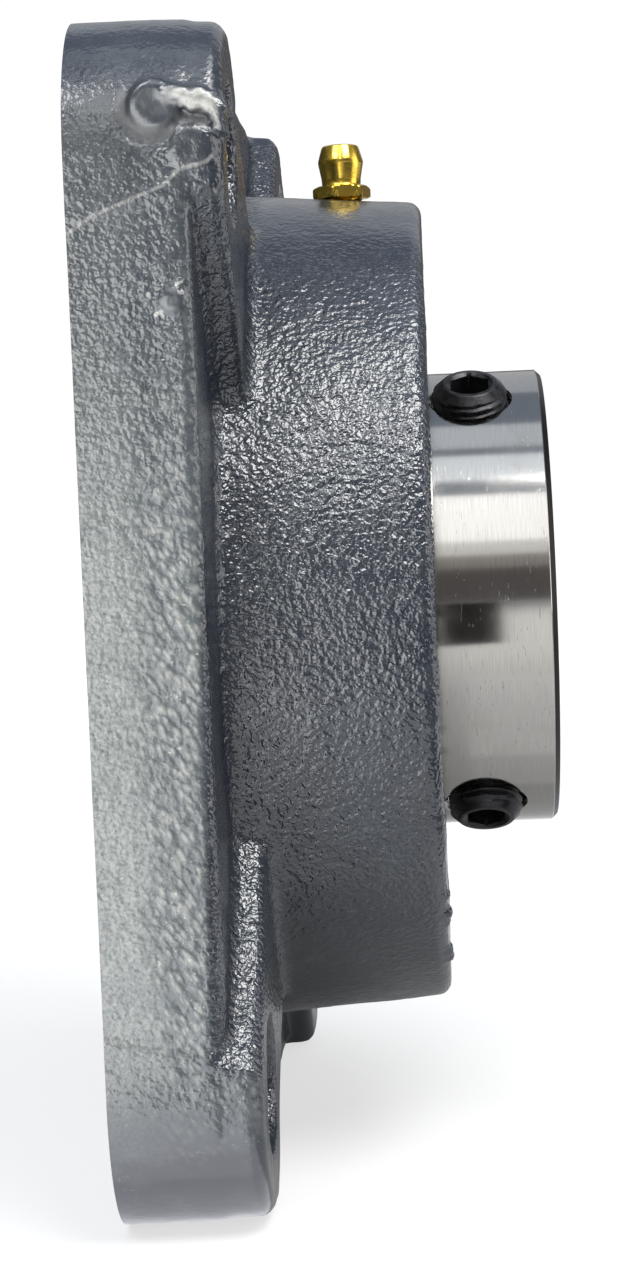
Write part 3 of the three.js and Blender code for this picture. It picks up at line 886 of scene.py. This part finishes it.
def housing():
    piece = casting()
    seat = OUTER_R + SEAT_GAP
    slot_half = OUTER_HALF + 0.3
    nipple_foot = (NIPPLE_X, 0, OUTER_R - 2)
    cutters = [
        back_cutter(),
        drill("axis_cutter", (-5, 0, 0), (1, 0, 0), 2.0, 60, 0.0),
        bore_cutter(),
        block("slot_cutter", (-3, -seat, -slot_half), (BALL_X, seat, slot_half)),
        drill("nipple_cutter", nipple_foot, (0, 0, 1), NIPPLE_HOLE_R, BOSS_ROOT_R - OUTER_R + 1.6, 0.4),
    ]
    for y in (-BOLT_AT, BOLT_AT):
        for z in (-BOLT_AT, BOLT_AT):
            cutters.append(drill("bolt_cutter", (-3, y, z), (1, 0, 0), BOLT_HOLE_R, PAD_X + 2.7, 0.5))
    cut(piece, cutters)
    refine_marks(piece)
    smooth(piece, 48.0)
    paint_skin(piece)
    finish_piece(piece, ENAMEL, "fixed_housing", "housing")


# ---- rings

GROOVE_R = BALL_R + 0.3
GROOVE_REACH = math.sqrt(GROOVE_R**2 - (PITCH_R - INNER_R) ** 2)


def groove(side):
    """The ball groove's arc, in or out from the pitch circle, from low x to high x."""
    end = math.asin(GROOVE_REACH / GROOVE_R)
    points = []
    for t in np.linspace(-end, end, 14):
        points.append((BALL_X + GROOVE_R * math.sin(t), PITCH_R + side * GROOVE_R * math.cos(t)))
    return points


def radial_cutter(name, x, angle, inner, outer, radius, chamfer):
    """A hole cutter along a radius. The angle is measured from +Z towards -Y."""
    way = (0, -math.sin(angle), math.cos(angle))
    origin = (x, way[1] * inner, way[2] * inner)
    return drill(name, origin, way, radius, outer - inner, chamfer, RING_STEEL)


def mirrored(outline, side):
    """An outline of (distance from the ball centre plane, radius), on the front or the rear side."""
    points = [(BALL_X + side * x, r) for x, r in outline]
    return points if side > 0 else points[::-1]


def inner_ring():
    low, high = INNER_LOW[0], INNER_HIGH[0]
    rear_end = [(low, BORE_R + 1), (low, INNER_R - 0.9), (low + 0.9, INNER_R)]
    front_end = [(high - 0.8, INNER_R), (high, INNER_R - 0.75), (high, BORE_R + 1), (high - 1, BORE_R)]
    outline = rounded(rear_end, 0.25, 3, False) + groove(-1)
    outline += rounded(front_end, 0.4, 5, False) + [(low + 1, BORE_R)]
    piece = dressed(turned("inner_race", outline, 256, 28.0), RING_STEEL)
    holes = []
    inside, outside = BORE_R - 3, INNER_R - 0.1
    for name, angle in (("upper", TAU / 4 - SCREW_ANGLE), ("lower", TAU / 4 + SCREW_ANGLE)):
        holes.append(radial_cutter(f"hole_{name}", SCREW_X, angle, inside, outside, SCREW_HOLE_R, 0.35))
    cut(piece, holes)
    smooth(piece, 28.0)
    finish_piece(piece, RING_STEEL, "rotor", "inner_ring")


def outer_ring():
    front, rear = BALL_X + OUTER_HALF, BALL_X - OUTER_HALF
    seal_r, seal_half = 40.3, 8.4
    xs = np.linspace(rear, front, 40)
    outline = [(v, math.sqrt(OUTER_R**2 - (v - BALL_X) ** 2)) for v in xs]
    outline[-1] = (front, outline[-1][1] - 0.4)
    outline[0] = (rear, outline[0][1] - 0.4)
    seal_step = [
        (OUTER_HALF, seal_r + 0.6), (OUTER_HALF, seal_r), (seal_half, seal_r),
        (seal_half, OUTER_SHOULDER_R), (GROOVE_REACH + 1, OUTER_SHOULDER_R),
    ]
    outline += rounded(mirrored(seal_step, 1), 0.2, 3, False)
    outline += groove(1)[::-1]
    outline += rounded(mirrored(seal_step, -1), 0.2, 3, False)
    piece = dressed(turned("outer_race", outline, 256, 28.0), RACE_STEEL)
    holes = []
    inside, outside = OUTER_SHOULDER_R - 3, OUTER_R - 0.6
    for i, angle in enumerate((0, math.pi)):
        holes.append(radial_cutter(f"grease_{i}", NIPPLE_X, angle, inside, outside, GREASE_HOLE_R, 0.3))
    cut(piece, holes)
    smooth(piece, 28.0)
    finish_piece(piece, RACE_STEEL, "insert", "outer_ring")


# ---- balls and cage


def ball(name, centre, radius, rings, segments):
    """A ball at a place in millimetres."""
    turns = np.linspace(-math.pi / 2, math.pi / 2, rings)[1:-1]
    rows = [(radius * math.sin(t), radius * math.cos(t)) for t in turns]
    piece = spun(name, rows, segments, 60.0)
    return place(piece, Matrix.Translation(Vector(centre) * MM))


def rolling_balls():
    for name, centre in zip(BALLS, BALL_CENTRES):
        piece = ball(f"{name}_polished", centre, BALL_R, 33, 64)
        finish_piece(piece, BALL_STEEL, f"rolling_{name}", name)


CAGE_THICK = 0.9
CAGE_BAND = 1.9


def cage_half(end, side):
    """A pressed ribbon with a cupped pocket over each ball, as two skins and their edges."""
    around = 720
    pocket = TAU / len(BALLS)
    radii = np.linspace(PITCH_R - CAGE_BAND, PITCH_R + CAGE_BAND, 9)
    angles = np.arange(around) * TAU / around
    nearest = (angles + pocket / 2) % pocket - pocket / 2

    def skin(ball_r, flat, radius):
        y = radius * np.sin(nearest)
        z = radius * np.cos(nearest) - PITCH_R
        cup = np.sqrt(np.maximum(ball_r**2 - y * y - z * z, 0.01))
        return -union(-cup, -flat, 0.8)

    inner_flat = 0.15
    rows = [(r, skin(GROOVE_R, inner_flat, r)) for r in radii]
    rows += [(r, skin(GROOVE_R + CAGE_THICK, inner_flat + CAGE_THICK, r)) for r in radii[::-1]]
    vertices = []
    for radius, height in rows:
        y, z = radius * np.sin(angles), radius * np.cos(angles)
        vertices.append(np.stack([BALL_X + side * height, y, z], 1))
    faces = grid_faces(len(rows), around, True)
    if side < 0:
        faces = [face[::-1] for face in faces]
    return mesh_object(f"cage_half_{end}", np.concatenate(vertices), faces, 40.0)


def cage():
    for end, side in ENDS:
        piece = dressed(cage_half(end, side), SHEET_STEEL)
        holes = []
        for name in RIVETS:
            start = (BALL_X - 3, *centre_mm(name)[1:])
            holes.append(drill("rivet_hole", start, (1, 0, 0), RIVET_HOLE_R, 5, 0.0, SHEET_STEEL))
        cut(piece, holes)
        smooth(piece, 40.0)
        finish_piece(piece, SHEET_STEEL, "cage", f"cage_{end}")
    for name in RIVETS:
        low, high = box_mm(name)
        half = (high[0] - low[0]) / 2
        head_r = (high[1] - low[1]) / 2
        under_head = half - 0.5
        dome = [(under_head + 0.5 * math.sin(t), head_r * math.cos(t)) for t in np.linspace(0, 1.4, 7)]
        upper = [(under_head, 0.8), (under_head, head_r - 0.05)] + dome
        rows = [(-h, r) for h, r in upper[::-1]] + upper
        piece = spun(f"{name}_domed", rows, 32)
        place(piece, stand(centre_mm(name), (1, 0, 0)))
        finish_piece(piece, SHEET_STEEL, "cage", name)


# ---- seals and slingers

# Outlines for the front side, as (distance from the ball centre plane, radius).
SEAL_CORE = ((9, 33.2), (9, 38.4), (9.4, 40), (11.5, 40), (11.5, 39.2), (9.8, 39.0), (9.8, 33.2))
SEAL_LIP = ((8.6, 31.3), (8.2, 31.9), (8.8, 32.9), (10.2, 32.9), (10.4, 31.6), (9.8, 31.3))
SLINGER = (
    (10.8, 31.3), (10.8, 37.2), (10.5, 38.0), (10.7, 38.7), (11.4, 38.7), (11.4, 37.4), (11.55, 34.6),
    (12.1, 34.0), (12.1, 32.6), (13, 32.0), (13, 31.3),
)


def seals():
    for end, side in ENDS:
        core = turned(f"seal_plate_{end}", rounded(mirrored(SEAL_CORE, side), 0.25), 160)
        finish_piece(core, SHEET_STEEL, "insert", f"seal_core_{end}")
        lip = turned(f"seal_wiper_{end}", rounded(mirrored(SEAL_LIP, side), 0.3), 160, 50.0)
        finish_piece(lip, RUBBER, "insert", f"seal_lip_{end}")
        guard = turned(f"slinger_ring_{end}", rounded(mirrored(SLINGER, side), 0.3), 192)
        finish_piece(guard, SHEET_STEEL, "rotor", f"slinger_{end}")


# ---- set screws

SCREW_R = 4.9
THREAD_DEPTH = 0.55


def thread(height, segments, crest_r, depth, fade_low, fade_high):
    """The radius round one row of a thread of 1 mm pitch, which fades out past each end."""
    turn = np.arange(segments) / segments
    tooth = np.clip(np.abs((height - turn) % 1.0 - 0.5) * 2.4 - 0.1, 0, 1)
    fade = np.clip(height - fade_low, 0, 1) * np.clip(fade_high - height, 0, 1)
    return crest_r - depth * tooth * fade - depth * 0.5 * (1 - fade)


def set_screw(end, side):
    segments = 120
    length = SCREW_HEAD_R - SCREW_TIP_R
    chamfer = 1.25
    key = hexagon(SCREW_KEY, segments)
    rows = [(0.9, 0.4), (0.15, 2.3), (0.0, 2.5), (0.1, 2.9)]
    for height in np.linspace(0.5, length - 0.06, 92):
        cone = min(SCREW_R, 3.3 + height * 1.05, SCREW_R - (height - (length - chamfer)))
        crest = thread(height, segments, SCREW_R, THREAD_DEPTH, 0.2, length + 1)
        rows.append((height, np.minimum(crest, cone)))
    flat_r = SCREW_R - chamfer
    rows += [(length, flat_r - 0.08), (length, np.maximum(key + 0.2, 3.1))]
    rows += [(length - 0.1, np.maximum(key + 0.1, 2.98)), (length - 0.35, key), (length - 4.0, key)]
    rows += [(length - 4.1, key - 0.2), (length - 4.9, 0.3)]
    piece = spun(f"set_screw_threaded_{end}", rows, segments, 34.0)
    way = (0, -math.cos(SCREW_ANGLE), side * math.sin(SCREW_ANGLE))
    tip = (SCREW_X, way[1] * SCREW_TIP_R, way[2] * SCREW_TIP_R)
    place(piece, stand(tip, way) @ Matrix.Rotation(math.radians(30), 4, "Z"))
    finish_piece(piece, BLACK, f"screw_{end}", f"set_screw_{end}")


# ---- grease nipple

NIPPLE_HEX = 7.0
NIPPLE_SCREW_R = 2.85
NIPPLE_TURN = math.radians(12)
HEX_LOW = 55.6
HEX_HIGH = 57.3
HEX_CORNER_R = 4.05
CHAMBER_R = 1.6
NIPPLE_TOP = NIPPLE_HIGH[2]
HEAD_OUTLINE = (
    (57.35, 2.75), (57.55, 2.66), (58.3, 2.7), (60.25, 3.06), (60.6, 3.1), (60.85, 3.06), (62.4, 2.62),
    (62.7, 2.5), (NIPPLE_TOP - 0.06, 2.3), (NIPPLE_TOP, 2.0), (NIPPLE_TOP, 1.2),
)


def grease_nipple():
    segments = 96
    key = hexagon(NIPPLE_HEX, segments)
    foot = NIPPLE_LOW[2]
    rows = [(foot + 1.2, 1.0), (foot, 1.0), (foot, 2.2)]
    for height in np.linspace(foot + 0.1, HEX_LOW - 0.05, 48):
        screw = thread(height, segments, NIPPLE_SCREW_R, 0.4, foot, HEX_LOW + 1)
        rows.append((height, np.minimum(screw, 2.3 + (height - foot))))
    cones = (
        (HEX_LOW, 3.7), (HEX_LOW + 0.2, HEX_CORNER_R), (HEX_HIGH - 0.45, HEX_CORNER_R),
        (HEX_HIGH - 0.25, 3.85), (HEX_HIGH - 0.08, 3.55), (HEX_HIGH, 3.3),
    )
    rows += [(height, np.minimum(key, cone)) for height, cone in cones]
    rows += HEAD_OUTLINE
    rows += [(NIPPLE_TOP - 0.1, 1.0), (NIPPLE_TOP - 0.35, 0.75), (NIPPLE_TOP - 1.0, 0.7)]
    rows += [(60.9, CHAMBER_R), (foot + 1.5, CHAMBER_R), (foot + 1.35, 0.9)]
    piece = spun("nipple_fitting", rows, segments, 30.0)
    turn = Matrix.Rotation(NIPPLE_TURN, 4, "Z")
    place(piece, Matrix.Translation(Vector((NIPPLE_X, 0, 0)) * MM) @ turn)
    finish_piece(piece, GOLD, "fixed_housing", "grease_nipple")


def nipple_inside():
    low, high = box_mm("nipple_ball")
    check = ball("nipple_check_ball", centre_mm("nipple_ball"), (high[2] - low[2]) / 2, 21, 40)
    finish_piece(check, BALL_STEEL, "nipple_valve", "nipple_ball")
    spring = frame["nodes"]["nipple_spring"]
    spring.data.materials.clear()
    dressed(spring, SHEET_STEEL)


# ---- studio

CAMERA_AT = Vector((40.2, -384.9, 14.1)) * MM
CAMERA_YAW = math.radians(2.62)
CAMERA_PITCH = math.radians(-2.84)
CAMERA_ROLL = math.radians(2.45)
CAMERA_LENS = 78.06
SENSOR = 36.0


def camera():
    data = bpy.data.cameras.new("camera")
    data.sensor_width = SENSOR
    data.lens = CAMERA_LENS
    data.clip_start = 0.01
    eye = linked("camera", data)
    turn = Matrix.Rotation(CAMERA_YAW, 4, "Z") @ Matrix.Rotation(CAMERA_PITCH, 4, "X")
    turn = turn @ Matrix.Rotation(CAMERA_ROLL, 4, "Y") @ Matrix.Rotation(math.pi / 2, 4, "X")
    eye.matrix_world = Matrix.Translation(CAMERA_AT) @ turn
    bpy.context.scene.camera = eye


def softbox(name, elevation, azimuth, width, height, glow, colour, distance=1.0):
    """A panel of light whose face has a given radiance, with its sizes in metres.

    Elevation is above the horizon, and azimuth turns from -Y towards +X.
    """
    data = bpy.data.lights.new(name, "AREA")
    data.shape = "RECTANGLE"
    data.size = width
    data.size_y = height
    data.energy = glow * math.pi * width * height
    data.color = colour
    light = linked(name, data)
    up, side = math.radians(elevation), math.radians(azimuth)
    way = Vector((math.cos(up) * math.sin(side), -math.cos(up) * math.cos(side), math.sin(up)))
    centre = Vector((BALL_X * MM, 0, 0))
    light.location = centre + way * distance
    light.rotation_euler = way.to_track_quat("Z", "Y").to_euler()
    light.visible_camera = False
    return light


def lying_panel(name, low, high, glow, colour):
    """A panel of light that lies on the floor between two (x, y) corners, facing up."""
    panel = softbox(name, -90, 0, high[0] - low[0], high[1] - low[1], glow, colour)
    panel.location = ((low[0] + high[0]) / 2, (low[1] + high[1]) / 2, CAD_BOX[0][2] + 0.0002)
    panel.rotation_euler = (math.pi, 0, 0)


def sheet(name, corners, material):
    """A single face that belongs to the studio."""
    mesh = bpy.data.meshes.new(name)
    mesh.from_pydata(corners, [], [tuple(range(len(corners)))])
    mesh.materials.append(material)
    piece = linked(name, mesh)
    return piece


def floor():
    """A white table that glows, dimmer near the object as a painted shadow round it. It looks brighter to
    the camera than in the reflections on the part.
    """
    size = 12.0
    level = CAD_BOX[0][2] - 0.0003
    s = Shader("pale_floor")
    s.set(Base_Color=s.blend(s.noise(400), (0.33, 0.33, 0.33), (0.35, 0.35, 0.35)), Roughness=0.9)
    x, y, _ = s.split(s.place)
    reach = s.hypot(x, y)
    seen = s.node("LightPath").outputs["Is Camera Ray"]
    # Painted shadow in reflections: the glow is dim near the object and brighter away from it.
    mirrored_glow = s.ramp(reach, 0.04, 0.2, 0.1, 0.6)
    # Painted shadow for the camera too: the glow it sees is dimmer near the object and reaches full white
    # far away, as painted light.
    seen_glow = s.ramp(reach, 0.1, 1.2, 0.66, 1.0)
    s.set(Specular_IOR_Level=0.0, Emission_Color=(1.0, 1.0, 1.0))
    more = s.times(seen, s.math("SUBTRACT", seen_glow, mirrored_glow))
    s.set(Emission_Strength=s.plus(mirrored_glow, more))
    corners = [(-size, -size, level), (size, -size, level), (size, size, level), (-size, size, level)]
    sheet("floor", corners, s.material)


def flag(name, corners):
    """A dark cloth, seen only in reflections."""
    s = Shader(f"{name}_cloth")
    s.set(Base_Color=s.blend(s.noise(2), (0.03, 0.025, 0.025), (0.05, 0.04, 0.04)), Roughness=0.9)
    piece = sheet(name, corners, s.material)
    piece.visible_camera = piece.visible_diffuse = piece.visible_shadow = False


def world():
    """White where the camera looks past the object, and a dim room in reflections."""
    room = bpy.data.worlds.new("room")
    bpy.context.scene.world = room
    room.use_nodes = True
    tree = room.node_tree
    tree.nodes.clear()
    kinds = ("OutputWorld", "MixShader", "LightPath", "Background", "Background", "TexCoord")
    output, mix, seen, white, dim, way = (tree.nodes.new(f"ShaderNode{kind}") for kind in kinds)
    split = tree.nodes.new("ShaderNodeSeparateXYZ")
    ramp = tree.nodes.new("ShaderNodeValToRGB")
    white.inputs[0].default_value = (1, 1, 1, 1)
    white.inputs[1].default_value = 1.02
    low, high = ramp.color_ramp.elements
    low.position = 0.3
    low.color = (0.155, 0.145, 0.145, 1)
    high.position = 0.92
    high.color = (0.31, 0.36, 0.45, 1)
    links = (
        (way.outputs["Generated"], split.inputs[0]),
        (split.outputs[2], ramp.inputs[0]),
        (ramp.outputs[0], dim.inputs[0]),
        (seen.outputs["Is Camera Ray"], mix.inputs[0]),
        (dim.outputs[0], mix.inputs[1]),
        (white.outputs[0], mix.inputs[2]),
        (mix.outputs[0], output.inputs[0]),
    )
    for start, end in links:
        tree.links.new(start, end)


# Cloths on the floor, as (x, y) corners, and one that stands before the ring, as (x, z) corners.
FLAG_RIGHT = ((0.085, -0.03), (0.085, -0.12), (0.22, -1.2), (1.6, -1.2), (1.6, -0.03))
FLAG_FAR = ((0.02, -6.0), (0.14, -6.0), (0.05, -0.6), (0.02, -0.6))
FLAG_RING = ((0.0402, -0.0192), (0.0491, -0.0184), (0.0491, 0.0), (0.0402, 0.0))
FLAG_RING_Y = -0.066

# As (name, elevation, azimuth, width, height, glow, colour, and distance where it isn't 1).
SOFTBOXES = (
    ("key", 41.4, 1, 0.2, 0.425, 2.28, (1.0, 0.995, 0.975)),
    ("key_edge", 26.0, 1, 0.2, 0.122, 1.2, (1.0, 0.99, 0.95)),
    ("key_foot", 19.3, 1, 0.2, 0.113, 0.32, (1.0, 0.96, 0.9)),
    ("sky", 69, 0, 0.3, 0.26, 1.35, (0.92, 0.96, 1.0)),
    ("top", 89, 0, 0.5, 0.28, 0.75, (0.92, 0.96, 1.0)),
    ("key_right", 51, 38, 0.5, 0.5, 11.5, (1.0, 0.99, 0.97)),
    ("key_left", 47, -29, 0.36, 0.4, 8.8, (0.97, 0.985, 1.0)),
    ("top_right", 62, 85, 0.35, 0.35, 3.0, (0.95, 0.98, 1.0)),
    ("window_left", 0, -29, 0.72, 0.5, 4.4, (1.0, 1.0, 0.985)),
    ("rim_right", 12, 84, 0.6, 0.7, 2.0, (1.0, 0.99, 0.97)),
    ("back", 35, 180, 1.6, 1.0, 0.4, (0.95, 0.98, 1.0), 1.4),
)

# As (name, low corner, high corner, glow, colour).
LYING_PANELS = (
    ("table_foot", (-0.2, -0.0705), (0.017, -0.057), 1.1, (0.93, 0.93, 1.0)),
    ("table_middle", (-0.2, -0.078), (0.017, -0.0705), 1.5, (0.94, 0.94, 1.0)),
    ("table_near", (-0.2, -0.28), (0.017, -0.078), 1.95, (0.95, 0.96, 1.0)),
    ("table_corner", (0.017, -0.085), (0.026, -0.057), 0.9, (0.93, 0.93, 1.0)),
    ("table_ring", (0.044, -1.1), (0.105, -0.11), 0.2, (1.0, 0.95, 0.75)),
    ("table_ring_near", (0.044, -0.11), (0.084, -0.028), 0.27, (1.0, 0.97, 0.98)),
    ("table_ring_foot", (0.044, -0.028), (0.084, -0.004), 0.12, (1.0, 0.98, 1.0)),
    ("table_far", (-0.34, -0.8), (0.0, -0.29), 3.6, (1.0, 1.0, 0.97)),
)


def studio():
    camera()
    world()
    floor()
    cloth_z = CAD_BOX[0][2] + 0.0005
    flag("flag_right", [(x, y, cloth_z) for x, y in FLAG_RIGHT])
    flag("flag_far", [(x, y, cloth_z) for x, y in FLAG_FAR])
    flag("flag_ring", [(x, FLAG_RING_Y, z) for x, z in FLAG_RING])
    for panel in SOFTBOXES:
        softbox(*panel)
    for panel in LYING_PANELS:
        lying_panel(*panel)
    bpy.context.scene.view_settings.view_transform = "Standard"


studio()
housing()
inner_ring()
outer_ring()
rolling_balls()
cage()
seals()
set_screw("upper", 1)
set_screw("lower", -1)
grease_nipple()
nipple_inside()
